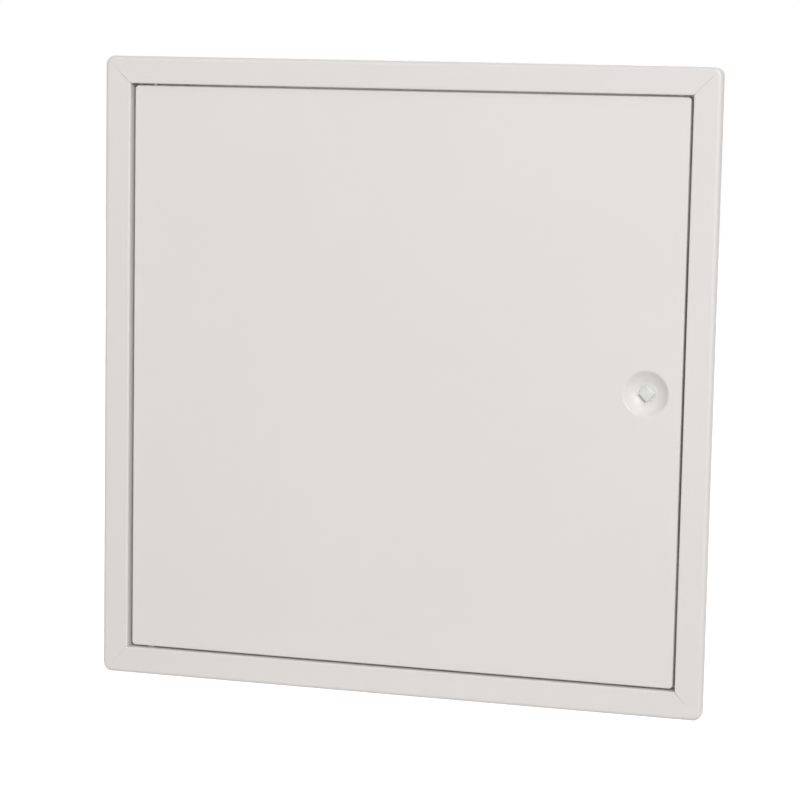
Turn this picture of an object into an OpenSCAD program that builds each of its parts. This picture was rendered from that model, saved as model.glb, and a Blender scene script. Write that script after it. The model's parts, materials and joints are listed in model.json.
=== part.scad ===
// Access panel: mitred steel frame, hinged tray door set slightly back and a square-drive cam lock.
// X is right, Y goes into the wall and Z is up. Millimetres.
// The origin is the middle of the panel on the wall plane.

/* [Frame] */
// Width over the outer lips
frame_w = 440; // [340:1:640]
// Height over the outer lips
frame_h = 440; // [380:1:640]
// Thickness of the steel sheet
sheet_t = 1; // [0.8:0.1:1.1]
// Width of the visible flange
flange_w = 19; // [16:0.5:26]
// How far the flange front stands proud of the wall
lip_h = 6.5; // [6:0.5:8]
// Depth of the collar behind the wall plane
collar_depth = 32; // [31:1:50]
// Inward fold at the back of the collar
rear_return = 10; // [6:1:14]
// Bend radius of the outer lip
outer_bend_r = 3; // [2:0.1:3.2]
// Bend radius at the throat
throat_bend_r = 1.2; // [1.2:0.1:2.2]
// Radius of the outer corners seen from the front
corner_r = 6.5; // [6.5:0.5:9]
// Open seam between two mitred rails
mitre_gap = 0.3; // [0.1:0.1:0.5]
// Spacing of the two fixing holes in each rail
fix_spacing = 260; // [210:5:290]
// Diameter of the fixing holes
fix_d = 4.5; // [4:0.5:6]

/* [Door] */
// How far the door sits behind the front of the frame
door_recess = 3.5; // [2:0.5:4]
// Gap beside the door, left and right
side_gap = 2.2; // [2:0.1:3]
// Gap above and below the door
end_gap = 1.2; // [1.2:0.1:2]
// Depth of the door tray
door_depth = 14; // [13.5:0.5:14.5]
// Inward fold at the back of the tray
door_fold = 10; // [8:0.5:12]
// Bend radius of the door edges
door_bend_r = 1.2; // [1.2:0.1:1.4]
// Radius of the door corners seen from the front
door_corner_r = 2.8; // [2.8:0.1:4]
// Open notch where two folds meet
fold_notch = 1.2; // [0.8:0.1:2]

/* [Hinge] */
// Pivot axis from the hinge edge of the door
pivot_in = 13; // [13:0.5:14]
// Diameter of the pin and of the spring bolt
pin_d = 5; // [4:0.5:5]
// Outer diameter of the nylon bushes
bush_d = 8; // [7.5:0.5:8]
// Travel of the spring bolt
bolt_travel = 8; // [7:0.5:9]
// Height of the channel that guides the bolt
bolt_channel_h = 44; // [40:1:60]
// Thickness of the door brackets
bracket_t = 1.5; // [1.2:0.1:2]

/* [Lock] */
// Lock axis from the lock edge of the door
lock_edge = 24.8; // [23:0.1:27]
// Lock axis above the middle of the door
lock_rise = 1; // [-40:0.5:40]
// Diameter of the pressed dish
dish_d = 31; // [29:0.5:34]
// Depth of the pressed dish
dish_depth = 6.3; // [5.5:0.1:7]
// Rounding of the dish rim
dish_rim_r = 2; // [1:0.1:2.4]
// Size of the square drive across its flats
drive_af = 8; // [6:0.5:8]
// Depth of the drive's front below the door face
drive_sunk = 2; // [1:0.1:3]
// Width of the cam tongue
cam_w = 12; // [10:0.5:14]
// Thickness of the cam
cam_t = 2.5; // [2:0.5:3]

/* [Stop] */
// Length of the stop angle
stop_len = 200; // [180:5:200]
// Thickness of the stop angle
stop_t = 1.5; // [1.2:0.1:2]
// Width of the leg that the door closes on
stop_leg = 12; // [11:0.5:13]
// Thickness of the rubber buffers
buffer_t = 2.2; // [1.5:0.1:3]

/* [Hidden] */
$fn = 64;
// Clearances
run_clear = 0.05;
seat_clear = 0.3;
swing_clear = 1;
// How far a cutting tool runs past the sheet
past = 1;
// Frame
front_y = -lip_h;
throat_x = frame_w / 2 - flange_w;
throat_z = frame_h / 2 - flange_w;
rear_bend_r = 2;
// Door
door_x = throat_x - side_gap;
door_z = throat_z - end_gap;
door_y = front_y + door_recess;
door_rear_y = door_y + door_depth;
fold_y = door_rear_y - sheet_t;
// Hinge
pivot_x = -door_x + pivot_in;
pivot_y = (door_y + sheet_t + fold_y) / 2;
pin_r = pin_d / 2;
bush_r = bush_d / 2;
bush_flange_r = bush_r + 1;
bush_flange_t = 1;
swing_y = pivot_y + norm([pivot_in, door_rear_y - pivot_y]);
bracket_half = bush_r + 1;
bracket_bend_r = bracket_t + 1;
channel_drop = 10;
channel_top_z = door_z - sheet_t - channel_drop;
channel_low_z = channel_top_z - bolt_channel_h;
bush_rise = 2.5;
bolt_tip = 1;
bolt_top_z = throat_z + sheet_t + bush_rise + bolt_tip;
clip_t = 0.8;
clip_z = channel_top_z - bracket_t - clip_t - seat_clear;
groove_r = pin_r - 0.5;
clip_r = pin_r + 2;
clip_slot = 2 * groove_r - 2;
tail_bend_r = pin_d + 2;
tail_top_z = channel_low_z - bolt_travel - 2;
tail_len = 14;
spring_wire = 0.9;
spring_r = pin_r + spring_wire / 2 + seat_clear;
spring_turns = 7;
spring_play = 0.2;
plate_rise = 8;
lower_plate_z = -door_z + plate_rise;
lower_web_h = 20;
lower_bush_len = plate_rise + bracket_t + 1.5;
pin_rise = 12;
pin_tip = 1;
pin_head_h = 1.8;
bush_proud = 0.3;
bracket_back = sheet_t - door_x;
bracket_reach = pivot_in - sheet_t + bush_r + 2;
// Cleats and rivets
cleat_t = 1.5;
cleat_leg = 30;
cleat_rivet = 19;
cleat_bend_r = 3;
cleat_y = swing_y + swing_clear;
cleat_w = collar_depth - rear_bend_r - seat_clear - cleat_y;
rivet_r = 1.6;
rivet_head_r = 3;
rivet_head_h = 1.1;
rivet_dome_r = (pow(rivet_head_r, 2) + pow(rivet_head_h, 2)) / (2 * rivet_head_h);
rivet_tail_h = 2;
fix_y = cleat_y + cleat_w / 2;
// Stop
stop_y = door_rear_y + seat_clear + buffer_t;
stop_rear_y = stop_y + stop_t;
stop_wall = 15;
stop_fold_r = stop_t + 1;
stop_rivet_y = stop_y + 10;
stop_rivet_pitch = 0.36 * stop_len;
buffer_r = 4;
buffer_crown_r = 3 * buffer_r;
buffer_stem_r = 1.5;
buffer_barb_h = 1.6;
buffer_x = throat_x - stop_t - (stop_leg - stop_t) / 2;
buffer_z = 0.42 * stop_len;
// Lock
lock_x = door_x - lock_edge;
lock_z = lock_rise;
dish_r = dish_d / 2;
floor_r = 7;
bowl_c = (dish_r * dish_r - floor_r * floor_r - dish_depth * dish_depth) / (2 * dish_depth);
bowl_r = norm([dish_r, bowl_c]);
rim_r_at = sqrt(pow(bowl_r + dish_rim_r, 2) - pow(bowl_c + dish_rim_r, 2));
rim_share = bowl_r / (bowl_r + dish_rim_r);
dish_y = door_y + dish_depth;
journal_r = 6;
journal_rear_r = 4.8;
journal_step = 3;
journal_sunk = 0.2;
end_play = 0.1;
cam_clear = 0.6;
cam_y = stop_rear_y + cam_clear;
lock_washer_t = 0.8;
lock_bush_rear = cam_y - lock_washer_t - seat_clear;
cam_square = 6;
cam_hub_r = 9;
cam_tip_clear = 2.5;
cam_reach = throat_x - stop_t - cam_tip_clear - lock_x;
thread_r = 2;
cam_washer_t = 1;
cam_washer_r = 4.8;
cam_nut_t = 3.2;
cam_nut_af = 7;
cam_nut_crown_r = 6.3;
cam_nut_crown_drop = 0.4;
thread_over = 1.5;

// Quarter of a bent sheet, on the chosen side of both axes
module bend(r, t, side_x, side_y) {
    intersection() {
        difference() {
            circle(r);
            circle(r - t);
        }
        translate([side_x > 0 ? 0 : -r - past, side_y > 0 ? 0 : -r - past])
            square(r + past);
    }
}

// Frame section from the outer lip as far as the corner radius.
// First axis: inward from the lip. Second axis: into the wall.
module lip_profile() {
    translate([0, front_y + outer_bend_r])
        square([sheet_t, lip_h - outer_bend_r]);
    translate([outer_bend_r, front_y + outer_bend_r])
        bend(outer_bend_r, sheet_t, -1, -1);
    translate([outer_bend_r, front_y])
        square([corner_r - outer_bend_r, sheet_t]);
}

// Rest of the frame section: flange, throat bend, collar and rear return
module web_profile() {
    translate([corner_r, front_y])
        square([flange_w - throat_bend_r - corner_r, sheet_t]);
    translate([flange_w - throat_bend_r, front_y + throat_bend_r])
        bend(throat_bend_r, sheet_t, 1, -1);
    translate([flange_w - sheet_t, front_y + throat_bend_r])
        square([sheet_t, lip_h - throat_bend_r + collar_depth - rear_bend_r]);
    translate([flange_w - sheet_t + rear_bend_r, collar_depth - rear_bend_r])
        bend(rear_bend_r, sheet_t, -1, 1);
    translate([flange_w - sheet_t + rear_bend_r, collar_depth - sheet_t])
        square([rear_return + sheet_t - rear_bend_r, sheet_t]);
}

// Section swept along X, with its first axis pointing down from half_out
module run_along(half_len, half_out) {
    translate([-half_len, 0, half_out])
        rotate([0, 90, 0])
            linear_extrude(2 * half_len)
                children();
}

// Section swept a quarter turn round the corner at the right-hand end
module corner_sweep(half_len, half_out, r) {
    translate([half_len - r, 0, half_out - r])
        rotate([-90, 0, 0])
            rotate([0, 0, -90])
                rotate_extrude(angle = 90)
                    mirror([1, 0])
                        translate([-r, 0])
                            children();
}

// Trapezium that leaves one rail between its two mitres
module mitre_wedge(half_len, half_out) {
    reach = flange_w + rear_return + past;
    slack = mitre_gap / sqrt(2);
    low_x = half_len - reach - slack;
    high_x = half_len + past - slack;
    translate([0, collar_depth + past, 0])
        rotate([90, 0, 0])
            linear_extrude(lip_h + collar_depth + 2 * past)
                polygon([
                    [-low_x, half_out - reach],
                    [low_x, half_out - reach],
                    [high_x, half_out + past],
                    [-high_x, half_out + past]
                ]);
}

// One mitred rail along X with its lip on top, and its two fixing holes
module rail(half_len, half_out) {
    difference() {
        intersection() {
            union() {
                run_along(half_len - corner_r, half_out)
                    lip_profile();
                run_along(half_len, half_out)
                    web_profile();
                corner_sweep(half_len, half_out, corner_r)
                    lip_profile();
                mirror([1, 0, 0])
                    corner_sweep(half_len, half_out, corner_r)
                        lip_profile();
            }
            mitre_wedge(half_len, half_out);
        }
        for (side = [-1, 1])
            translate([side * fix_spacing / 2, fix_y, half_out - flange_w - past])
                cylinder(r = fix_d / 2, h = sheet_t + 2 * past);
        for (side = [-1, 1])
            translate([side * (half_len - flange_w - cleat_rivet), fix_y, half_out - flange_w - past])
                cylinder(r = rivet_r + run_clear, h = sheet_t + 2 * past);
    }
}

module frame_top_rail() {
    color([0.93, 0.92, 0.90])
        difference() {
            rail(frame_w / 2, frame_h / 2);
            translate([pivot_x, pivot_y, throat_z - past])
                cylinder(r = bush_r + run_clear, h = sheet_t + 2 * past);
        }
}

module frame_bottom_rail() {
    color([0.93, 0.92, 0.90])
        difference() {
            rotate([0, 180, 0])
                rail(frame_w / 2, frame_h / 2);
            translate([pivot_x, pivot_y, -throat_z - sheet_t - past])
                cylinder(r = pin_r + run_clear, h = sheet_t + 2 * past);
        }
}

module frame_hinge_rail() {
    color([0.93, 0.92, 0.90])
        rotate([0, -90, 0])
            rail(frame_h / 2, frame_w / 2);
}

module frame_lock_rail() {
    color([0.93, 0.92, 0.90])
        difference() {
            rotate([0, 90, 0])
                rail(frame_h / 2, frame_w / 2);
            for (place = [-1, 0, 1])
                translate([throat_x - past, stop_rivet_y, place * stop_rivet_pitch])
                    rotate([0, 90, 0])
                        cylinder(r = rivet_r + run_clear, h = sheet_t + 2 * past);
        }
}

// Blind rivet along Z with its dome below zero, holding a stack of the given thickness
module blind_rivet(stack) {
    intersection() {
        translate([0, 0, rivet_dome_r - rivet_head_h])
            sphere(r = rivet_dome_r);
        translate([0, 0, -rivet_head_h - past])
            cylinder(r = rivet_head_r + past, h = rivet_head_h + past);
    }
    translate([0, 0, -rivet_head_h / 2])
        cylinder(r = rivet_r, h = stack + rivet_head_h / 2 + rivet_tail_h / 2);
    translate([0, 0, stack])
        cylinder(r1 = 1.5 * rivet_r, r2 = 1.2 * rivet_r, h = rivet_tail_h);
}

// One folded cleat in the upper right corner of the collar
module cleat() {
    difference() {
        translate([throat_x, cleat_y + cleat_w, throat_z])
            rotate([90, 0, 0])
                linear_extrude(cleat_w) {
                    translate([-cleat_leg, -cleat_t])
                        square([cleat_leg - cleat_bend_r, cleat_t]);
                    translate([-cleat_t, -cleat_leg])
                        square([cleat_t, cleat_leg - cleat_bend_r]);
                    translate([-cleat_bend_r, -cleat_bend_r])
                        bend(cleat_bend_r, cleat_t, 1, 1);
                }
        translate([throat_x - cleat_rivet, fix_y, throat_z - cleat_t - past])
            cylinder(r = rivet_r + run_clear, h = cleat_t + 2 * past);
        translate([throat_x - cleat_t - past, fix_y, throat_z - cleat_rivet])
            rotate([0, 90, 0])
                cylinder(r = rivet_r + run_clear, h = cleat_t + 2 * past);
    }
}

// Places the children in all four corners
module four_corners() {
    for (flip_x = [0, 1])
        for (flip_z = [0, 1])
            mirror([flip_x, 0, 0])
                mirror([0, 0, flip_z])
                    children();
}

module corner_cleats() {
    color([0.72, 0.73, 0.74])
        four_corners()
            cleat();
}

module corner_rivets() {
    color([0.75, 0.76, 0.77])
        four_corners() {
            translate([throat_x - cleat_rivet, fix_y, throat_z - cleat_t])
                blind_rivet(cleat_t + sheet_t);
            translate([throat_x - cleat_t, fix_y, throat_z - cleat_rivet])
                rotate([0, 90, 0])
                    blind_rivet(cleat_t + sheet_t);
        }
}

module stop_angle() {
    color([0.72, 0.73, 0.74])
        difference() {
            translate([throat_x, stop_y, -stop_len / 2])
                linear_extrude(stop_len) {
                    translate([-stop_t, stop_fold_r])
                        square([stop_t, stop_wall - stop_fold_r]);
                    translate([-stop_leg, 0])
                        square([stop_leg - stop_fold_r, stop_t]);
                    translate([-stop_fold_r, stop_fold_r])
                        bend(stop_fold_r, stop_t, 1, -1);
                }
            for (place = [-1, 0, 1])
                translate([throat_x - stop_t - past, stop_rivet_y, place * stop_rivet_pitch])
                    rotate([0, 90, 0])
                        cylinder(r = rivet_r + run_clear, h = stop_t + 2 * past);
            for (side = [-1, 1])
                translate([buffer_x, stop_y - past, side * buffer_z])
                    rotate([-90, 0, 0])
                        cylinder(r = buffer_stem_r + run_clear, h = stop_t + 2 * past);
        }
}

module stop_rivets() {
    color([0.75, 0.76, 0.77])
        for (place = [-1, 0, 1])
            translate([throat_x - stop_t, stop_rivet_y, place * stop_rivet_pitch])
                rotate([0, 90, 0])
                    blind_rivet(stop_t + sheet_t);
}

module stop_buffers() {
    color([0.08, 0.08, 0.08])
        for (side = [-1, 1])
            translate([buffer_x, stop_y, side * buffer_z])
                rotate([-90, 0, 0]) {
                    intersection() {
                        translate([0, 0, -buffer_t])
                            cylinder(r = buffer_r, h = buffer_t);
                        translate([0, 0, buffer_crown_r - buffer_t])
                            sphere(r = buffer_crown_r);
                    }
                    translate([0, 0, -buffer_t / 2])
                        cylinder(r = buffer_stem_r, h = stop_t + buffer_t / 2 + buffer_barb_h / 2);
                    translate([0, 0, stop_t])
                        cylinder(r1 = 1.5 * buffer_stem_r, r2 = 0.8 * buffer_stem_r, h = buffer_barb_h);
                }
}

module upper_pivot_bush() {
    color([0.16, 0.16, 0.17])
        translate([pivot_x, pivot_y, throat_z])
            difference() {
                union() {
                    cylinder(r = bush_r, h = sheet_t + bush_rise);
                    translate([0, 0, sheet_t])
                        cylinder(r = bush_flange_r, h = bush_flange_t);
                }
                translate([0, 0, -past])
                    cylinder(r = pin_r + run_clear, h = sheet_t + bush_rise + 2 * past);
            }
}

module lower_pivot_pin() {
    shoulder_t = end_gap - bush_proud - seat_clear;
    color([0.70, 0.71, 0.72])
        translate([pivot_x, pivot_y, -throat_z]) {
            translate([0, 0, -sheet_t - pin_head_h])
                cylinder(r1 = 1.4 * pin_r, r2 = 1.7 * pin_r, h = pin_head_h);
            translate([0, 0, -sheet_t - pin_head_h / 2])
                cylinder(r = pin_r, h = sheet_t + pin_head_h / 2 + pin_rise);
            translate([0, 0, pin_rise])
                cylinder(r1 = pin_r, r2 = pin_r - pin_tip, h = pin_tip);
            cylinder(r = bush_r, h = shoulder_t);
        }
}

// Door section from its edge as far as the corner radius
module door_edge_profile() {
    translate([0, door_y + door_bend_r])
        square([sheet_t, door_depth - 2 * door_bend_r]);
    translate([door_bend_r, door_y + door_bend_r])
        bend(door_bend_r, sheet_t, -1, -1);
    translate([door_bend_r, door_rear_y - door_bend_r])
        bend(door_bend_r, sheet_t, -1, 1);
    translate([door_bend_r, door_y])
        square([door_corner_r - door_bend_r, sheet_t]);
    translate([door_bend_r, fold_y])
        square([door_corner_r - door_bend_r, sheet_t]);
}

// Rest of the inward fold behind the door
module door_fold_profile() {
    translate([door_corner_r, fold_y])
        square([door_fold - door_corner_r, sheet_t]);
}

// Pressed bowl with a flat floor. First axis: radius. Second axis: depth below the door face.
module dish_sheet_profile() {
    intersection() {
        translate([0, -bowl_c])
            circle(bowl_r + sheet_t);
        square([bowl_r + 2 * sheet_t, dish_depth + sheet_t]);
    }
}

// The hollow of the dish with its rounded rim
module dish_hollow_profile() {
    rim_y = bowl_c + dish_rim_r;
    intersection() {
        translate([0, -bowl_c])
            circle(bowl_r);
        square([bowl_r + past, dish_depth]);
    }
    difference() {
        polygon([
            [0, -past],
            [rim_r_at, -past],
            [rim_r_at, 0],
            [rim_r_at * rim_share, rim_y * rim_share - bowl_c],
            [0, rim_y * rim_share - bowl_c]
        ]);
        translate([rim_r_at, dish_rim_r])
            circle(dish_rim_r);
    }
}

// Turns a section about the lock axis, depth running into the wall from the door face
module about_lock_axis() {
    translate([lock_x, door_y, lock_z])
        rotate([-90, 0, 0])
            rotate_extrude()
                children();
}

module door_side(half_len, half_out) {
    run_along(half_len - door_corner_r, half_out)
        door_edge_profile();
    run_along(half_len - door_corner_r, half_out)
        door_fold_profile();
    corner_sweep(half_len, half_out, door_corner_r)
        door_edge_profile();
}

module door_panel() {
    color([0.93, 0.92, 0.90])
        difference() {
            union() {
                translate([door_corner_r - door_x, door_y, door_corner_r - door_z])
                    cube([2 * (door_x - door_corner_r), sheet_t, 2 * (door_z - door_corner_r)]);
                door_side(door_x, door_z);
                rotate([0, 90, 0])
                    door_side(door_z, door_x);
                rotate([0, 180, 0])
                    door_side(door_x, door_z);
                rotate([0, -90, 0])
                    door_side(door_z, door_x);
                about_lock_axis()
                    dish_sheet_profile();
            }
            about_lock_axis()
                dish_hollow_profile();
            translate([lock_x, dish_y - past, lock_z])
                rotate([-90, 0, 0])
                    cylinder(r = journal_r + run_clear, h = sheet_t + 2 * past);
            four_corners()
                translate([door_x - door_corner_r, fold_y - past, door_z - door_corner_r])
                    rotate([0, 45, 0])
                        translate([-fold_notch / 2, 0, -2 * door_fold])
                            cube([fold_notch, sheet_t + 2 * past, 2 * door_fold]);
            translate([pivot_x, pivot_y, door_z - sheet_t - past])
                cylinder(r = pin_r + run_clear, h = sheet_t + 2 * past);
            translate([pivot_x, pivot_y, -door_z - past])
                cylinder(r = bush_r + run_clear, h = sheet_t + 2 * past);
        }
}

// Plate that sticks out from the door's hinge side, with its bend. side is -1 where the web is above it.
module bracket_plate(face_z, side) {
    translate([bracket_back + bracket_bend_r, face_z - side * bracket_bend_r])
        bend(bracket_bend_r, bracket_t, -1, side);
    translate([bracket_back + bracket_bend_r, side > 0 ? face_z - bracket_t : face_z])
        square([bracket_reach - bracket_bend_r, bracket_t]);
}

// Bracket section swept across the door's depth, evenly about the pivot axis
module across_pivot() {
    translate([0, pivot_y + bracket_half, 0])
        rotate([90, 0, 0])
            linear_extrude(2 * bracket_half)
                children();
}

module bolt_bracket() {
    color([0.72, 0.73, 0.74])
        difference() {
            across_pivot() {
                translate([bracket_back, channel_low_z + bracket_bend_r])
                    square([bracket_t, bolt_channel_h - 2 * bracket_bend_r]);
                bracket_plate(channel_low_z, -1);
                bracket_plate(channel_top_z, 1);
            }
            translate([pivot_x, pivot_y, channel_low_z - past])
                cylinder(r = pin_r + run_clear, h = bolt_channel_h + 2 * past);
        }
}

module lower_bracket() {
    color([0.72, 0.73, 0.74])
        difference() {
            across_pivot() {
                translate([bracket_back, lower_plate_z + bracket_bend_r])
                    square([bracket_t, lower_web_h]);
                bracket_plate(lower_plate_z, -1);
            }
            translate([pivot_x, pivot_y, lower_plate_z - past])
                cylinder(r = bush_r + run_clear, h = bracket_t + 2 * past);
        }
}

module lower_pivot_bush() {
    color([0.16, 0.16, 0.17])
        translate([pivot_x, pivot_y, -door_z])
            difference() {
                union() {
                    translate([0, 0, -bush_proud])
                        cylinder(r = bush_r, h = bush_proud + lower_bush_len);
                    translate([0, 0, sheet_t])
                        cylinder(r = bush_flange_r, h = bush_flange_t);
                }
                translate([0, 0, -bush_proud - past])
                    cylinder(r = pin_r + run_clear, h = bush_proud + lower_bush_len + 2 * past);
            }
}

module lock_bush() {
    step_y = dish_y + sheet_t + journal_step;
    color([0.70, 0.71, 0.72])
        translate([lock_x, 0, lock_z])
            difference() {
                translate([0, dish_y + sheet_t, 0])
                    rotate([-90, 0, 0])
                        cylinder(r = floor_r, h = lock_bush_rear - dish_y - sheet_t);
                translate([0, dish_y, 0])
                    rotate([-90, 0, 0])
                        cylinder(r = journal_r + run_clear, h = step_y - dish_y);
                translate([0, dish_y, 0])
                    rotate([-90, 0, 0])
                        cylinder(r = journal_rear_r + run_clear, h = lock_bush_rear - dish_y + past);
            }
}

module pivot_bolt() {
    color([0.70, 0.71, 0.72])
        translate([pivot_x, pivot_y, 0])
            difference() {
                union() {
                    translate([0, 0, tail_top_z])
                        cylinder(r = pin_r, h = bolt_top_z - bolt_tip - tail_top_z);
                    translate([0, 0, bolt_top_z - bolt_tip])
                        cylinder(r1 = pin_r, r2 = pin_r - bolt_tip, h = bolt_tip);
                    translate([tail_bend_r, 0, tail_top_z])
                        rotate([90, 0, 0])
                            rotate([0, 0, 180])
                                rotate_extrude(angle = 90)
                                    translate([tail_bend_r, 0])
                                        circle(pin_r);
                    translate([tail_bend_r, 0, tail_top_z - tail_bend_r])
                        rotate([0, 90, 0])
                            cylinder(r = pin_r, h = tail_len);
                }
                translate([0, 0, clip_z - run_clear])
                    difference() {
                        cylinder(r = pin_r + past, h = clip_t + 2 * run_clear);
                        cylinder(r = groove_r, h = clip_t + 2 * run_clear);
                    }
            }
}

module bolt_clip() {
    color([0.55, 0.56, 0.58])
        translate([pivot_x, pivot_y, clip_z])
            difference() {
                cylinder(r = clip_r, h = clip_t);
                translate([0, 0, -past])
                    cylinder(r = groove_r + run_clear, h = clip_t + 2 * past);
                translate([0, -clip_slot / 2, -past])
                    cube([clip_r + past, clip_slot, clip_t + 2 * past]);
            }
}

// Coil of round wire with ground ends. Its level section is the wire's round cut along the coil's lean.
module bolt_spring() {
    low = channel_low_z + bracket_t + spring_play;
    height = clip_z - spring_play - low;
    lean = atan(height / spring_turns / (2 * PI * spring_r));
    half_arc = spring_wire / 2 / sin(lean) / spring_r * 180 / PI;
    color([0.60, 0.61, 0.63])
        translate([pivot_x, pivot_y, low])
            linear_extrude(height, twist = -360 * spring_turns, slices = 12 * spring_turns, $fn = 8)
                polygon([
                    for (turn = [0 : 45 : 315])
                        let (out = spring_r + spring_wire / 2 * cos(turn), along = half_arc * sin(turn))
                            [out * cos(along), out * sin(along)]
                ]);
}

module lock_spindle() {
    step_y = dish_y + sheet_t + journal_step - end_play;
    drive_y = door_y + drive_sunk;
    thread_end = cam_y + cam_t + cam_washer_t + cam_nut_t + thread_over;
    color([0.91, 0.91, 0.89])
        translate([lock_x, 0, lock_z]) {
            translate([0, drive_y, 0])
                rotate([0, 45, 0])
                    translate([-drive_af / 2, 0, -drive_af / 2])
                        cube([drive_af, dish_y + journal_step / 2 - drive_y, drive_af]);
            translate([0, dish_y + journal_sunk, 0])
                rotate([-90, 0, 0])
                    cylinder(r = journal_r, h = step_y - dish_y - journal_sunk);
            translate([0, step_y - journal_step / 2, 0])
                rotate([-90, 0, 0])
                    cylinder(r = journal_rear_r, h = lock_bush_rear + end_play - step_y + journal_step / 2);
            translate([-cam_square / 2, lock_bush_rear - past, -cam_square / 2])
                cube([cam_square, cam_y + cam_t - end_play - lock_bush_rear + past, cam_square]);
            translate([0, cam_y, 0])
                rotate([-90, 0, 0])
                    cylinder(r = thread_r, h = thread_end - cam_y);
        }
}

module lock_washer() {
    color([0.62, 0.63, 0.65])
        translate([lock_x, cam_y - lock_washer_t, lock_z])
            rotate([-90, 0, 0])
                difference() {
                    cylinder(r = floor_r, h = lock_washer_t);
                    translate([0, 0, -past])
                        cylinder(r = journal_rear_r, h = lock_washer_t + 2 * past);
                }
}

// At rest the tongue points up, clear of the stop
module lock_cam() {
    color([0.70, 0.71, 0.72])
        translate([lock_x, cam_y, lock_z])
            rotate([-90, 0, 0])
                difference() {
                    union() {
                        cylinder(r = cam_hub_r, h = cam_t);
                        intersection() {
                            translate([-cam_w / 2, -cam_reach - past, 0])
                                cube([cam_w, cam_reach + past, cam_t]);
                            cylinder(r = cam_reach, h = cam_t);
                        }
                    }
                    translate([-cam_square / 2 - run_clear, -cam_square / 2 - run_clear, -past])
                        cube([cam_square + 2 * run_clear, cam_square + 2 * run_clear, cam_t + 2 * past]);
                }
}

module cam_washer() {
    color([0.75, 0.76, 0.77])
        translate([lock_x, cam_y + cam_t, lock_z])
            rotate([-90, 0, 0])
                difference() {
                    cylinder(r = cam_washer_r, h = cam_washer_t);
                    translate([0, 0, -past])
                        cylinder(r = thread_r + run_clear, h = cam_washer_t + 2 * past);
                }
}

module cam_nut() {
    color([0.75, 0.76, 0.77])
        translate([lock_x, cam_y + cam_t + cam_washer_t, lock_z])
            rotate([-90, 0, 0])
                difference() {
                    intersection() {
                        cylinder(r = cam_nut_af / sqrt(3), h = cam_nut_t, $fn = 6);
                        translate([0, 0, cam_nut_t + cam_nut_crown_drop - cam_nut_crown_r])
                            sphere(r = cam_nut_crown_r);
                    }
                    translate([0, 0, -past])
                        cylinder(r = thread_r + run_clear, h = cam_nut_t + 2 * past);
                }
}

frame_top_rail();
frame_bottom_rail();
frame_hinge_rail();
frame_lock_rail();
corner_cleats();
corner_rivets();
stop_angle();
stop_rivets();
stop_buffers();
upper_pivot_bush();
lower_pivot_pin();
door_panel();
bolt_bracket();
lower_bracket();
lower_pivot_bush();
lock_bush();
pivot_bolt();
bolt_clip();
bolt_spring();
lock_spindle();
lock_washer();
lock_cam();
cam_washer();
cam_nut();
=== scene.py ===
import json
import math

import bmesh
import bpy
from mathutils import Matrix, Vector


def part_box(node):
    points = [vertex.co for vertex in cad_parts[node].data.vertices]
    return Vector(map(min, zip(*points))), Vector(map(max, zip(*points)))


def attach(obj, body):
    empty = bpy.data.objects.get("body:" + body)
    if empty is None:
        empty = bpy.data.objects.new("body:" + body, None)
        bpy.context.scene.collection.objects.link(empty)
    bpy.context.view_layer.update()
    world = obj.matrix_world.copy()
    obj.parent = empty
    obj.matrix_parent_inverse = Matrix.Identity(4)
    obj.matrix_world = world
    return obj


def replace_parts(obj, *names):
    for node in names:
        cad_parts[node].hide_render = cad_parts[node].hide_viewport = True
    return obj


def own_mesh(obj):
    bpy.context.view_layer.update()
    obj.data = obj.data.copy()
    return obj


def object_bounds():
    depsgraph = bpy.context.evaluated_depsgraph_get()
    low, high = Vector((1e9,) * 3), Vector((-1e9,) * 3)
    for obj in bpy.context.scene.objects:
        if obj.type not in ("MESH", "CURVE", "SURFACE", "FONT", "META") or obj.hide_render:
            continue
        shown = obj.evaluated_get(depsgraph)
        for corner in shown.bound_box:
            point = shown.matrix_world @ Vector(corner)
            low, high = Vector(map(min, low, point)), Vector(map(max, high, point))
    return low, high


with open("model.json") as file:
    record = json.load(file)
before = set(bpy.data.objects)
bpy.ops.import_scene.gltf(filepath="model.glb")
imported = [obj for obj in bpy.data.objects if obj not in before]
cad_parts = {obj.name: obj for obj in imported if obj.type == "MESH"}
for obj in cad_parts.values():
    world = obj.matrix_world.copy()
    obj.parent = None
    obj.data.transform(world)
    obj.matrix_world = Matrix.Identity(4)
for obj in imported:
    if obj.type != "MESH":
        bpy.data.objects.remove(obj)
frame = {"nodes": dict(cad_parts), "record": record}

# Looks of the access panel in the part's frame: metres, X right, Y into the wall and Z up
MM = 0.001
CAD_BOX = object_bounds()
NODES = frame["nodes"]
BEHAVIOUR = frame["record"]["behaviour"]


# Materials


WHOLE_RANGE = (0, 1)
# The values that most of a noise texture lies between
NOISE_RANGE = (0.3, 0.7)
# Sockets of a Mix node for colours, by number because their names are shared
MIX_FACTOR, MIX_UNDER, MIX_TOP, MIX_RESULT = 0, 6, 7, 2


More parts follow.
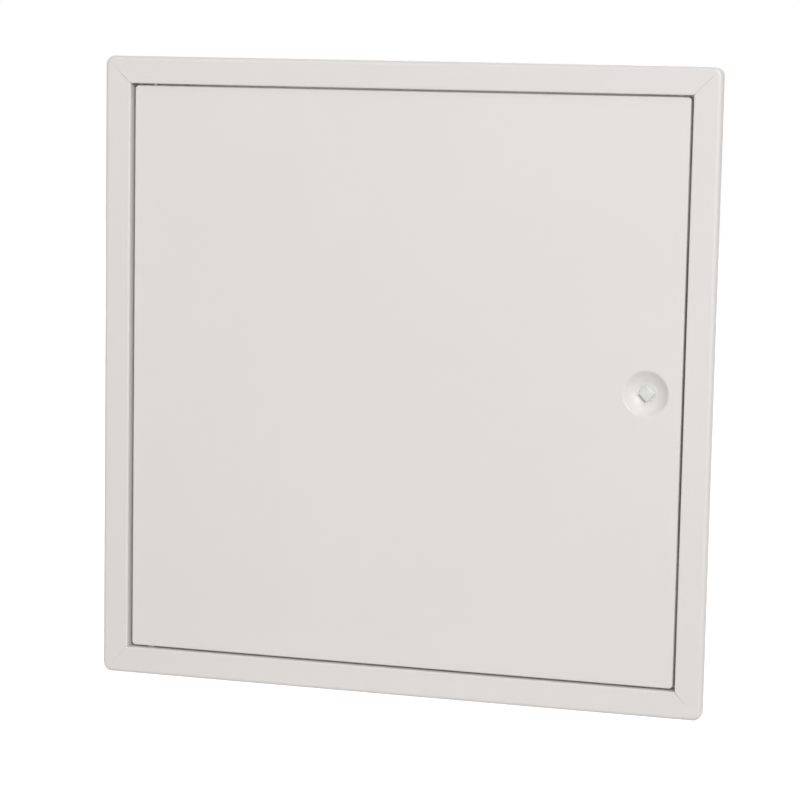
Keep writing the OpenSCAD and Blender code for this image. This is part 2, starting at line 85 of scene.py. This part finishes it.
class Surface:
    """A Principled material made of procedural textures in the part's own coordinates."""

    def __init__(self, name, metallic=0.0):
        self.material = bpy.data.materials.new(name)
        self.material.use_nodes = True
        self.tree = self.material.node_tree
        self.tree.nodes.clear()
        self.shader = self.add("ShaderNodeBsdfPrincipled")
        self.shader.inputs["Metallic"].default_value = metallic
        output = self.add("ShaderNodeOutputMaterial")
        self.link(self.shader.outputs["BSDF"], output.inputs["Surface"])
        self.place = self.add("ShaderNodeTexCoord").outputs["Object"]

    def add(self, kind, **settings):
        node = self.tree.nodes.new(kind)
        for name, value in settings.items():
            setattr(node, name, value)
        return node

    def link(self, source, target):
        self.tree.links.new(source, target)

    def stretched(self, scale):
        """The part's coordinates, drawn out along the axes with a small scale."""
        mapping = self.add("ShaderNodeMapping")
        mapping.inputs["Scale"].default_value = scale
        self.link(self.place, mapping.inputs["Vector"])
        return mapping.outputs["Vector"]

    def noise(self, scale, detail=2.0, place=None):
        """Noise with about scale grains to a unit of place, which is a metre unless it is stretched."""
        node = self.add("ShaderNodeTexNoise")
        node.inputs["Scale"].default_value = scale
        node.inputs["Detail"].default_value = detail
        self.link(place or self.place, node.inputs["Vector"])
        return node.outputs["Fac"]

    def cells(self, scale):
        """A random grey for each cell, as in the crystals of a zinc coat."""
        node = self.add("ShaderNodeTexVoronoi")
        node.inputs["Scale"].default_value = scale
        self.link(self.place, node.inputs["Vector"])
        grey = self.add("ShaderNodeSeparateColor")
        self.link(node.outputs["Color"], grey.inputs["Color"])
        return grey.outputs["Red"]

    def spread(self, value, source, target):
        """Maps the range source onto the range target, and holds it at the ends."""
        node = self.add("ShaderNodeMapRange")
        node.inputs["From Min"].default_value, node.inputs["From Max"].default_value = source
        node.inputs["To Min"].default_value, node.inputs["To Max"].default_value = target
        self.link(value, node.inputs["Value"])
        return node.outputs["Result"]

    def combine(self, operation, first, second):
        """Two values joined by an operation of the Math node."""
        node = self.add("ShaderNodeMath", operation=operation)
        self.link(first, node.inputs[0])
        self.link(second, node.inputs[1])
        return node.outputs["Value"]

    def shades(self, value, source, low, high):
        """A ramp from the colour low to the colour high across the range source."""
        node = self.add("ShaderNodeValToRGB")
        for element, position, colour in zip(node.color_ramp.elements, source, (low, high)):
            element.position = position
            element.color = (*colour, 1)
        self.link(value, node.inputs["Fac"])
        return node.outputs["Color"]

    def over(self, factor, under, top):
        """The colour top laid over the colour under."""
        node = self.add("ShaderNodeMix", data_type="RGBA")
        self.link(factor, node.inputs[MIX_FACTOR])
        self.link(under, node.inputs[MIX_UNDER])
        node.inputs[MIX_TOP].default_value = (*top, 1)
        return node.outputs[MIX_RESULT]

    def edges(self, radius):
        """Near 1 on convex and concave edges, 0 on flats."""
        flat_cosine, edge_cosine = 0.98, 0.80
        bevel = self.add("ShaderNodeBevel", samples=4)
        bevel.inputs["Radius"].default_value = radius
        flat = self.add("ShaderNodeNewGeometry")
        dot = self.add("ShaderNodeVectorMath", operation="DOT_PRODUCT")
        self.link(bevel.outputs["Normal"], dot.inputs[0])
        self.link(flat.outputs["Normal"], dot.inputs[1])
        return self.spread(dot.outputs["Value"], (flat_cosine, edge_cosine), WHOLE_RANGE)

    def patchy_edges(self, radius, scale, detail, patches):
        """Edges broken up by noise, as wear and dust are."""
        broken = self.spread(self.noise(scale, detail), patches, WHOLE_RANGE)
        return self.combine("MULTIPLY", self.edges(radius), broken)

    def bump(self, height, distance, strength, below=None):
        node = self.add("ShaderNodeBump")
        node.inputs["Distance"].default_value = distance
        node.inputs["Strength"].default_value = strength
        self.link(height, node.inputs["Height"])
        if below:
            self.link(below, node.inputs["Normal"])
        return node.outputs["Normal"]

    def finish(self, colour, roughness, normal, metallic=None):
        wanted = {"Base Color": colour, "Roughness": roughness, "Normal": normal, "Metallic": metallic}
        for socket, source in wanted.items():
            if source:
                self.link(source, self.shader.inputs[socket])
        return self.material


def powder_coat(name, light, dark):
    """Satin powder coat on sheet steel: orange peel, faint waviness and a thin coat on the edges."""
    pale_grain, speck, thin_coat = (0.90, 0.88, 0.86), (0.62, 0.60, 0.57), (0.70, 0.69, 0.67)
    coat = Surface(name)
    grains = coat.noise(2600)
    tone = coat.shades(coat.noise(7, 3), NOISE_RANGE, dark, light)
    tone = coat.over(coat.spread(grains, (0.62, 0.80), (0, 0.10)), tone, pale_grain)
    tone = coat.over(coat.spread(coat.noise(900), (0.66, 0.74), (0, 0.12)), tone, speck)
    worn = coat.patchy_edges(0.5 * MM, 240, 3, (0.45, 0.62))
    tone = coat.over(coat.spread(worn, WHOLE_RANGE, (0, 0.30)), tone, thin_coat)
    clouds = coat.spread(coat.noise(16, 4), NOISE_RANGE, (0.30, 0.38))
    rough = coat.combine("ADD", clouds, coat.spread(grains, NOISE_RANGE, (-0.03, 0.03)))
    wavy = coat.bump(coat.noise(5, 1), 0.35 * MM, 0.6)
    peel = coat.bump(coat.noise(520, 1.5), 0.012 * MM, 0.6, wavy)
    fine = coat.bump(grains, 0.004 * MM, 0.5, peel)
    return coat.finish(tone, rough, fine)


def lock_paint():
    """Cooler white paint on the drive, rubbed through to the metal on its edges by the key."""
    light, dark, bare_metal = (0.78, 0.795, 0.755), (0.70, 0.715, 0.68), (0.55, 0.55, 0.54)
    paint = Surface("white_lock_paint")
    tone = paint.shades(paint.noise(220, 3), NOISE_RANGE, dark, light)
    rubbed = paint.patchy_edges(0.35 * MM, 1400, 4, (0.50, 0.60))
    tone = paint.over(rubbed, tone, bare_metal)
    rough = paint.spread(paint.noise(700, 3), NOISE_RANGE, (0.26, 0.36))
    cast = paint.bump(paint.noise(1300, 3), 0.02 * MM, 0.5)
    return paint.finish(tone, rough, cast, paint.spread(rubbed, WHOLE_RANGE, (0, 0.9)))


def plated(name, low, high, spangle, rough, lines):
    """Plated or bare metal: grains of slightly different grey, drawn lines and a dull haze."""
    dull = (0.52, 0.51, 0.49)
    metal = Surface(name, metallic=1.0)
    haze = metal.noise(45, 4)
    drawn = metal.noise(1.0, 3, metal.stretched(lines))
    tone = metal.shades(metal.cells(spangle), WHOLE_RANGE, low, high)
    tone = metal.over(metal.spread(haze, (0.50, 0.72), (0, 0.35)), tone, dull)
    clouds = metal.spread(haze, NOISE_RANGE, rough)
    streaks = metal.spread(drawn, NOISE_RANGE, (-0.05, 0.05))
    scratched = metal.bump(drawn, 0.012 * MM, 0.5)
    pitted = metal.bump(metal.noise(1800), 0.006 * MM, 0.5, scratched)
    return metal.finish(tone, metal.combine("ADD", clouds, streaks), pitted)


def moulded(name, low, high, grain, depth, rough):
    """Dark nylon or rubber with a moulded grain and pale dust on its edges."""
    dust = (0.20, 0.19, 0.18)
    skin = Surface(name)
    tone = skin.shades(skin.noise(160, 4), NOISE_RANGE, low, high)
    dusty = skin.patchy_edges(0.3 * MM, 500, 3, (0.4, 0.65))
    tone = skin.over(skin.spread(dusty, WHOLE_RANGE, (0, 0.4)), tone, dust)
    clouds = skin.spread(skin.noise(300, 3), NOISE_RANGE, rough)
    return skin.finish(tone, clouds, skin.bump(skin.noise(grain, 3), depth, 0.6))


# Frame and door share a slot, but the door's coat is a little lighter
COAT = {
    "frame": powder_coat("frame_powder_coat", light=(0.790, 0.760, 0.738), dark=(0.774, 0.745, 0.723)),
    "door": powder_coat("door_powder_coat", light=(0.802, 0.771, 0.746), dark=(0.787, 0.756, 0.731)),
}
SLOTS = {
    "white_lock_paint": lock_paint(),
    "zinc_steel": plated(
        "zinc_steel", low=(0.56, 0.57, 0.58), high=(0.68, 0.69, 0.70),
        spangle=260, rough=(0.26, 0.42), lines=(90, 90, 2600),
    ),
    "spring_steel": plated(
        "spring_steel", low=(0.40, 0.41, 0.43), high=(0.50, 0.51, 0.53),
        spangle=900, rough=(0.20, 0.32), lines=(2600, 2600, 300),
    ),
    "rivet_aluminium": plated(
        "rivet_aluminium", low=(0.68, 0.69, 0.70), high=(0.76, 0.77, 0.78),
        spangle=1200, rough=(0.28, 0.40), lines=(900, 900, 900),
    ),
    "dark_nylon": moulded(
        "dark_nylon", low=(0.040, 0.040, 0.044), high=(0.062, 0.062, 0.068),
        grain=1600, depth=0.02 * MM, rough=(0.42, 0.58),
    ),
    "black_rubber": moulded(
        "black_rubber", low=(0.016, 0.016, 0.016), high=(0.030, 0.029, 0.028),
        grain=2400, depth=0.03 * MM, rough=(0.62, 0.80),
    ),
}


def surface_of(body, slot):
    return COAT[body] if slot == "white_powder_coat" else SLOTS[slot]


def dress_nodes():
    """Gives each node the material of its slot."""
    body_of = {node: body for body, nodes in BEHAVIOUR["bodies"].items() for node in nodes}
    for subpart in frame["record"]["subparts"]:
        node = subpart["node"]
        for place in NODES[node].material_slots:
            place.link = "OBJECT"
            place.material = surface_of(body_of[node], subpart["material_slot"])


# Places and mesh tools


def millimetres(rows):
    """Rows of numbers in mm, turned into metres."""
    return [tuple(value * MM for value in row) for row in rows]


def corners(node):
    """The low and the high corner of a node's box."""
    return [Vector(corner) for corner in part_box(node)]


def middle(node):
    low, high = corners(node)
    return (low + high) / 2


def along(origin, axis):
    """A frame at origin whose Z points along axis."""
    return Matrix.Translation(origin) @ Vector(axis).to_track_quat("Z", "Y").to_matrix().to_4x4()


def polar(radius, angle, height):
    """The point at a radius, an angle and a height about the Z axis."""
    return Vector((radius * math.cos(angle), radius * math.sin(angle), height))


def around(steps):
    """Angles spaced evenly around a circle."""
    return [2 * math.pi * k / steps for k in range(steps)]


def loft(mesh, rings, closed=False):
    """Skins rings of points. A ring of one point ends in a tip; closed joins the last ring to the first."""
    made = [[mesh.verts.new(point) for point in ring] for ring in rings]
    pairs = list(zip(made, made[1:]))
    if closed:
        pairs.append((made[-1], made[0]))
    for low, high in pairs:
        count = max(len(low), len(high))
        for k in range(count):
            near, far = k, (k + 1) % count
            if len(low) == 1:
                mesh.faces.new((low[0], high[far], high[near]))
            elif len(high) == 1:
                mesh.faces.new((low[near], low[far], high[0]))
            else:
                mesh.faces.new((low[near], low[far], high[far], high[near]))


def capped_loft(mesh, rings):
    """Skins rings of points and closes both ends at their middles."""
    first, last = ([sum(ring, Vector()) / len(ring)] for ring in (rings[0], rings[-1]))
    loft(mesh, [first, *rings, last])


def turned(mesh, place, profile, steps=48):
    """Turns (radius, height) points about the Z axis of place. Radius 0 closes an end."""
    rings = []
    for radius, height in profile:
        angles = around(steps if radius else 1)
        rings.append([place @ polar(radius, angle, height) for angle in angles])
    loft(mesh, rings)


def rounded_square(half, radius, height, steps=6):
    """Points of a square with rounded corners at one height."""
    points = []
    for corner in range(4):
        base = corner * math.pi / 2
        centre = polar((half - radius) * math.sqrt(2), base + math.pi / 4, height)
        for k in range(steps + 1):
            points.append(centre + polar(radius, base + k * math.pi / 2 / steps, 0))
    return points


def squared(mesh, place, profile):
    """Lofts rounded squares, as (half width, corner radius, height), along the Z axis of place."""
    capped_loft(mesh, [[place @ point for point in rounded_square(*row)] for row in profile])


def make_piece(name, mesh, body, slot, crease_deg=35):
    """Turns a bmesh into a shaded piece that rides on a body."""
    bmesh.ops.recalc_face_normals(mesh, faces=mesh.faces)
    for face in mesh.faces:
        face.smooth = True
    for edge in mesh.edges:
        edge.smooth = len(edge.link_faces) == 2 and edge.calc_face_angle() < math.radians(crease_deg)
    data = bpy.data.meshes.new(name)
    mesh.to_mesh(data)
    mesh.free()
    data.materials.append(surface_of(body, slot))
    piece = bpy.data.objects.new(name, data)
    bpy.context.scene.collection.objects.link(piece)
    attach(piece, body)
    return piece


# Pieces


def add_spring():
    """Smooth coil with closed ends in place of the faceted spring."""
    low, high = corners("bolt_spring")
    axis = middle("bolt_spring")
    wire_r = 0.45 * MM
    coil_r = (high.x - low.x) / 2 - wire_r
    turns, closed_turns, steps_per_turn, sides = 9, 1.2, 32, 10
    span = high.z - low.z - 2 * wire_r
    closed_pitch = 2.1 * wire_r
    closed_h = closed_pitch * closed_turns

    def height(turn):
        if turn < closed_turns:
            return closed_pitch * turn
        if turn > turns - closed_turns:
            return span - closed_pitch * (turns - turn)
        open_share = (turn - closed_turns) / (turns - 2 * closed_turns)
        return closed_h + open_share * (span - 2 * closed_h)

    start = Vector((axis.x, axis.y, low.z + wire_r))
    path = []
    for k in range(turns * steps_per_turn + 1):
        turn = k / steps_per_turn
        path.append(start + polar(coil_r, 2 * math.pi * turn, height(turn)))
    rings = []
    for k, point in enumerate(path):
        ahead = (path[min(k + 1, len(path) - 1)] - path[max(k - 1, 0)]).normalized()
        out = Vector((point.x - axis.x, point.y - axis.y, 0)).normalized()
        side = ahead.cross(out)
        rings.append([
            point + wire_r * (math.cos(angle) * out + math.sin(angle) * side)
            for angle in around(sides)
        ])
    mesh = bmesh.new()
    capped_loft(mesh, rings)
    spring = make_piece("bolt_coil_spring", mesh, "door", "spring_steel", crease_deg=60)
    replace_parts(spring, "bolt_spring")
    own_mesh(spring)


def add_wave_washer():
    """Three-wave spring washer in place of the flat ring behind the lock bush."""
    low, high = corners("lock_washer")
    place = along(middle("lock_washer"), (0, 1, 0))
    width, half, soft = 2.1 * MM, 0.16 * MM, 0.08 * MM
    outer = (high.x - low.x) / 2
    inner = outer - width
    waves, wave_h, steps = 3, 0.22 * MM, 96
    section = [
        (inner, -half + soft), (inner + soft, -half), (outer - soft, -half), (outer, -half + soft),
        (outer, half - soft), (outer - soft, half), (inner + soft, half), (inner, half - soft),
    ]
    rings = []
    for angle in around(steps):
        lift = wave_h * math.sin(waves * angle)
        rings.append([place @ polar(radius, angle, height + lift) for radius, height in section])
    mesh = bmesh.new()
    loft(mesh, rings, closed=True)
    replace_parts(make_piece("lock_wave_washer", mesh, "lock", "spring_steel"), "lock_washer")


def cut_thread(mesh, place, root, start, end):
    """Thread from start to end, on a core that begins at root. Its teeth run out towards the end."""
    pitch, core_r, crest_r = 0.7 * MM, 1.62 * MM, 2.0 * MM
    crest, flank = 1.25, 1.5
    steps, rows_per_pitch, run_out = 40, 10, 0.6 * MM
    angles = around(steps)
    rows = int((end - start) / (pitch / rows_per_pitch))
    rings = [[place @ polar(core_r, angle, root) for angle in angles]]
    for row in range(rows + 1):
        height = start + (end - start) * row / rows
        taper = min(1, (end - height) / run_out)
        ring = []
        for k, angle in enumerate(angles):
            phase = (height / pitch - k / steps) % 1
            tooth = max(0, min(1, crest - flank * abs(2 * phase - 1)))
            ring.append(place @ polar(core_r + (crest_r - core_r) * tooth * taper, angle, height))
        rings.append(ring)
    capped_loft(mesh, rings)


def add_spindle():
    """Lock spindle with a softened drive, stepped journals and a cut thread in place of the plain solid."""
    low, high = corners("lock_spindle")
    centre = middle("cam_washer")
    bush_rear, cam_rear, nut_rear = (corners(node)[1].y for node in ("lock_bush", "lock_cam", "cam_nut"))
    place = along((centre.x, 0, centre.z), (0, 1, 0))
    # How far each length runs into the next one, and the play at the ends
    overlap, play = 1 * MM, 0.1 * MM
    mesh = bmesh.new()

    # The square drive stands on its corner. Its nose has rows of inset, corner radius and depth
    drive_half, drive_len, drive_r = 4 * MM, 4.3 * MM, 0.6 * MM
    nose = millimetres([
        (0.75, 0.3, 0), (0.50, 0.4, 0.04), (0.24, 0.5, 0.18), (0.07, 0.6, 0.42), (0, 0.6, 0.75),
    ])
    dish = low.y + drive_len
    rows = [(drive_half - inset, radius, low.y + depth) for inset, radius, depth in nose]
    rows.append((drive_half, drive_r, dish + overlap))
    squared(mesh, place @ Matrix.Rotation(math.pi / 4, 4, "Z"), rows)

    journal_r, journal_edge, journal_sunk, journal_len = 6 * MM, 0.2 * MM, 0.2 * MM, 3.9 * MM
    rear_r, rear_edge = 4.8 * MM, 0.1 * MM
    front, step, rear = dish + journal_sunk, dish + journal_len, bush_rear + play
    turned(mesh, place, [
        (0, front), (journal_r - journal_edge, front), (journal_r, front + journal_edge), (journal_r, step),
        (rear_r, step), (rear_r, rear - rear_edge), (rear_r - rear_edge, rear), (0, rear),
    ])

    cam_half, cam_r, cam_edge = 3 * MM, 0.25 * MM, 0.2 * MM
    cam_end = cam_rear - play
    squared(mesh, place, [
        (cam_half, cam_r, bush_rear - overlap),
        (cam_half, cam_r, cam_end - cam_edge),
        (cam_half - cam_edge, cam_r, cam_end),
    ])

    thread_in_nut = 1.4 * MM
    cut_thread(mesh, place, cam_rear - overlap, nut_rear - thread_in_nut, high.y)
    spindle = make_piece("lock_spindle_turned", mesh, "lock", "white_lock_paint", crease_deg=30)
    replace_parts(spindle, "lock_spindle")


def add_rivet_mandrels():
    """The snapped steel stem in the middle of each blind rivet's dome."""
    # Sizes as in the part's source
    cleat_t, cleat_rivet, head_h, head_r = 1.5 * MM, 19 * MM, 1.1 * MM, 3 * MM
    dome_top = cleat_t + head_h
    throat = corners("corner_cleats")[1]
    y = middle("corner_cleats").y
    spots = []
    for sign_x in (-1, 1):
        for sign_z in (-1, 1):
            on_rail = (sign_x * (throat.x - cleat_rivet), y, sign_z * (throat.z - dome_top))
            on_side = (sign_x * (throat.x - dome_top), y, sign_z * (throat.z - cleat_rivet))
            spots.append((on_rail, (0, 0, -sign_z)))
            spots.append((on_side, (-sign_x, 0, 0)))
    low, high = corners("stop_rivets")
    for z in (low.z + head_r, 0, high.z - head_r):
        spots.append(((low.x, middle("stop_rivets").y, z), (-1, 0, 0)))
    # Radius and height of the stem, the groove around it and the rolled edge of the dome
    profile = millimetres([
        (0, 0.16), (0.45, 0.18), (0.62, 0.10), (0.66, -0.10), (0.80, -0.12),
        (0.90, 0.05), (1.05, 0.09), (1.22, 0.03), (1.40, -0.12), (1.40, -0.30), (0, -0.30),
    ])
    mesh = bmesh.new()
    for spot, axis in spots:
        turned(mesh, along(spot, axis), profile, steps=28)
    make_piece("rivet_mandrels", mesh, "frame", "zinc_steel")


def add_bush_weld():
    """Rippled weld bead around the lock bush behind the dish."""
    low, high = corners("lock_bush")
    centre = middle("lock_bush")
    place = along((centre.x, low.y, centre.z), (0, 1, 0))
    stand_off, bead_r, steps, sides = 0.1 * MM, 0.62 * MM, 120, 10
    fine_ripples, fine_share, coarse_ripples, coarse_share = 20, 0.10, 7, 0.08
    ring_r = (high.x - low.x) / 2 + stand_off
    rings = []
    for angle in around(steps):
        fine = fine_share * math.sin(fine_ripples * angle)
        coarse = coarse_share * math.sin(coarse_ripples * angle + 1)
        bead = bead_r * (1 + fine + coarse)
        rings.append([
            place @ polar(ring_r + bead * math.cos(turn), angle, bead * math.sin(turn))
            for turn in around(sides)
        ])
    mesh = bmesh.new()
    loft(mesh, rings, closed=True)
    make_piece("lock_bush_weld", mesh, "door", "zinc_steel", crease_deg=70)


def add_spot_welds():
    """Spot welds on the two hinge brackets, at shares of each bracket's height."""
    # Thickness as in the part's source
    bracket_t = 1.5 * MM
    shares_on = {"bolt_bracket": (0.28, 0.72), "lower_bracket": (0.45, 0.80)}
    # Radius and height of the electrode's dent and the ridge around it
    profile = millimetres([
        (0, 0.03), (0.9, 0.02), (1.25, 0.09), (1.6, 0.12),
        (1.95, 0.07), (2.3, -0.04), (2.3, -0.2), (0, -0.2),
    ])
    mesh = bmesh.new()
    for node, shares in shares_on.items():
        low, high = corners(node)
        for share in shares:
            spot = (low.x + bracket_t, (low.y + high.y) / 2, low.z + share * (high.z - low.z))
            turned(mesh, along(spot, (1, 0, 0)), profile, steps=32)
    make_piece("bracket_spot_welds", mesh, "door", "zinc_steel")


def add_seam_paint():
    """Paint that bridges the outer end of each mitre seam and sinks into it towards the throat."""
    high = Vector(CAD_BOX[1])
    front = CAD_BOX[0][1]
    # Outer bend, corner radius and inner end of the flat flange, as in the part's source
    bend_r, corner_r, flat_end = 3 * MM, 6.5 * MM, 17.8 * MM
    half_width, thickness = 0.16 * MM, 0.4 * MM
    flush, deepest, slope = 0.02 * MM, 0.45 * MM, 7 * MM
    filled_at = {(-1, 1): 7 * MM, (1, 1): 0.5 * MM, (-1, -1): 6 * MM, (1, -1): 8 * MM}
    bend_steps, flat_steps = 8, 14
    # Rows of inset from the lip, Y, and the direction into the sheet as inward and back shares
    section = [(0, 0, 1, 0)]
    for k in range(bend_steps + 1):
        turn = k / bend_steps * math.pi / 2
        across, back = math.cos(turn), math.sin(turn)
        section.append((bend_r * (1 - across), front + bend_r * (1 - back), across, back))
    for k in range(1, flat_steps + 1):
        section.append((bend_r + (flat_end - bend_r) * k / flat_steps, front, 0, 1))
    mesh = bmesh.new()
    for (sign_x, sign_z), filled in filled_at.items():
        side = Vector((sign_x, 0, -sign_z)).normalized() * half_width
        rings = []
        for inset, y, across, back in section:
            # On the diagonal of a rounded corner, the outline lies further in
            from_edge = inset + max(0, corner_r - inset) * (1 - math.sqrt(0.5))
            surface = Vector((sign_x * (high.x - from_edge), y, sign_z * (high.z - from_edge)))
            diagonal = across * math.sqrt(0.5)
            inward = Vector((-sign_x * diagonal, back, -sign_z * diagonal))
            sunk = flush + (deepest - flush) * max(0, min(1, (inset - filled) / slope))
            top = surface + inward * sunk
            low = top + inward * thickness
            rings.append([top - side, top + side, low + side, low - side])
        capped_loft(mesh, rings)
    make_piece("mitre_seam_paint", mesh, "frame", "white_powder_coat")


# Stage


def add_camera():
    """The photo's camera, solved from the edges of the frame."""
    data = bpy.data.cameras.new("camera")
    data.sensor_width = 36
    data.lens = 126.703
    data.shift_x = -0.05225
    data.shift_y = 0.0899
    camera = bpy.data.objects.new("camera", data)
    camera.location = (0.58752, -1.84774, 0.20346)
    camera.rotation_euler = [math.radians(angle) for angle in (82.199, -1.204, 16.929)]
    bpy.context.scene.collection.objects.link(camera)
    bpy.context.scene.camera = camera


def add_lamp(name, towards, distance, size, power):
    """Square soft box that shines at the origin. It stands in the direction towards."""
    data = bpy.data.lights.new(name, "AREA")
    data.shape = "SQUARE"
    data.size = size
    data.energy = power
    lamp = bpy.data.objects.new(name, data)
    spot = Vector(towards).normalized() * distance
    lamp.matrix_world = along(spot, spot)
    bpy.context.scene.collection.objects.link(lamp)


def seen_share(tree):
    """1 for camera, glossy and transmission rays, which see the white backdrop."""
    rays = tree.nodes.new("ShaderNodeLightPath").outputs
    total = rays["Is Camera Ray"]
    for name in ("Is Glossy Ray", "Is Transmission Ray"):
        node = tree.nodes.new("ShaderNodeMath")
        node.operation = "MAXIMUM"
        tree.links.new(total, node.inputs[0])
        tree.links.new(rays[name], node.inputs[1])
        total = node.outputs["Value"]
    return total


def add_world(fill):
    """Backdrop that is white in view and in reflections, and gives only the fill as diffuse light."""
    world = bpy.data.worlds.new("studio")
    bpy.context.scene.world = world
    world.use_nodes = True
    tree = world.node_tree
    background = tree.nodes["Background"]
    background.inputs["Color"].default_value = (1, 1, 1, 1)
    level = tree.nodes.new("ShaderNodeMapRange")
    level.inputs["To Min"].default_value = fill
    level.inputs["To Max"].default_value = 1
    tree.links.new(seen_share(tree), level.inputs["Value"])
    tree.links.new(level.outputs["Result"], background.inputs["Strength"])


def floor_material(lift):
    """Pale matt grey, lifted towards white for the rays that see the backdrop."""
    material = bpy.data.materials.new("floor")
    material.use_nodes = True
    tree = material.node_tree
    tree.nodes.clear()
    matt = tree.nodes.new("ShaderNodeBsdfDiffuse")
    matt.inputs["Color"].default_value = (0.80, 0.80, 0.80, 1)
    glow = tree.nodes.new("ShaderNodeEmission")
    level = tree.nodes.new("ShaderNodeMapRange")
    level.inputs["To Max"].default_value = lift
    tree.links.new(seen_share(tree), level.inputs["Value"])
    tree.links.new(level.outputs["Result"], glow.inputs["Strength"])
    both = tree.nodes.new("ShaderNodeAddShader")
    tree.links.new(matt.outputs["BSDF"], both.inputs[0])
    tree.links.new(glow.outputs["Emission"], both.inputs[1])
    output = tree.nodes.new("ShaderNodeOutputMaterial")
    tree.links.new(both.outputs["Shader"], output.inputs["Surface"])
    return material


def add_floor(half_size, lift):
    """Floor under the lower lip. It keeps the shadow, and reads as white where it is lit."""
    mesh = bmesh.new()
    bmesh.ops.create_grid(mesh, x_segments=1, y_segments=1, size=half_size)
    data = bpy.data.meshes.new("floor")
    mesh.to_mesh(data)
    mesh.free()
    data.materials.append(floor_material(lift))
    floor = bpy.data.objects.new("floor", data)
    floor.location.z = CAD_BOX[0][2]
    bpy.context.scene.collection.objects.link(floor)


bpy.context.scene.view_settings.view_transform = "Standard"
add_camera()
add_lamp("key", towards=(0.48, -0.79, 0.38), distance=8.0, size=3.0, power=212)
add_lamp("near", towards=(0.353, -0.853, 0.386), distance=1.6, size=0.7, power=3.8)
add_lamp("overhead", towards=(0.25, -0.45, 0.86), distance=6.0, size=3.0, power=45)
add_lamp("left", towards=(-0.45, -0.70, 0.55), distance=3.0, size=1.8, power=8)
add_lamp("back", towards=(0.0, 0.75, 0.66), distance=5.0, size=2.5, power=60)
add_world(fill=0.255)
add_floor(half_size=6, lift=0.80)
dress_nodes()
add_spring()
add_wave_washer()
add_spindle()
add_rivet_mandrels()
add_bush_weld()
add_spot_welds()
add_seam_paint()

bpy.context.view_layer.update()
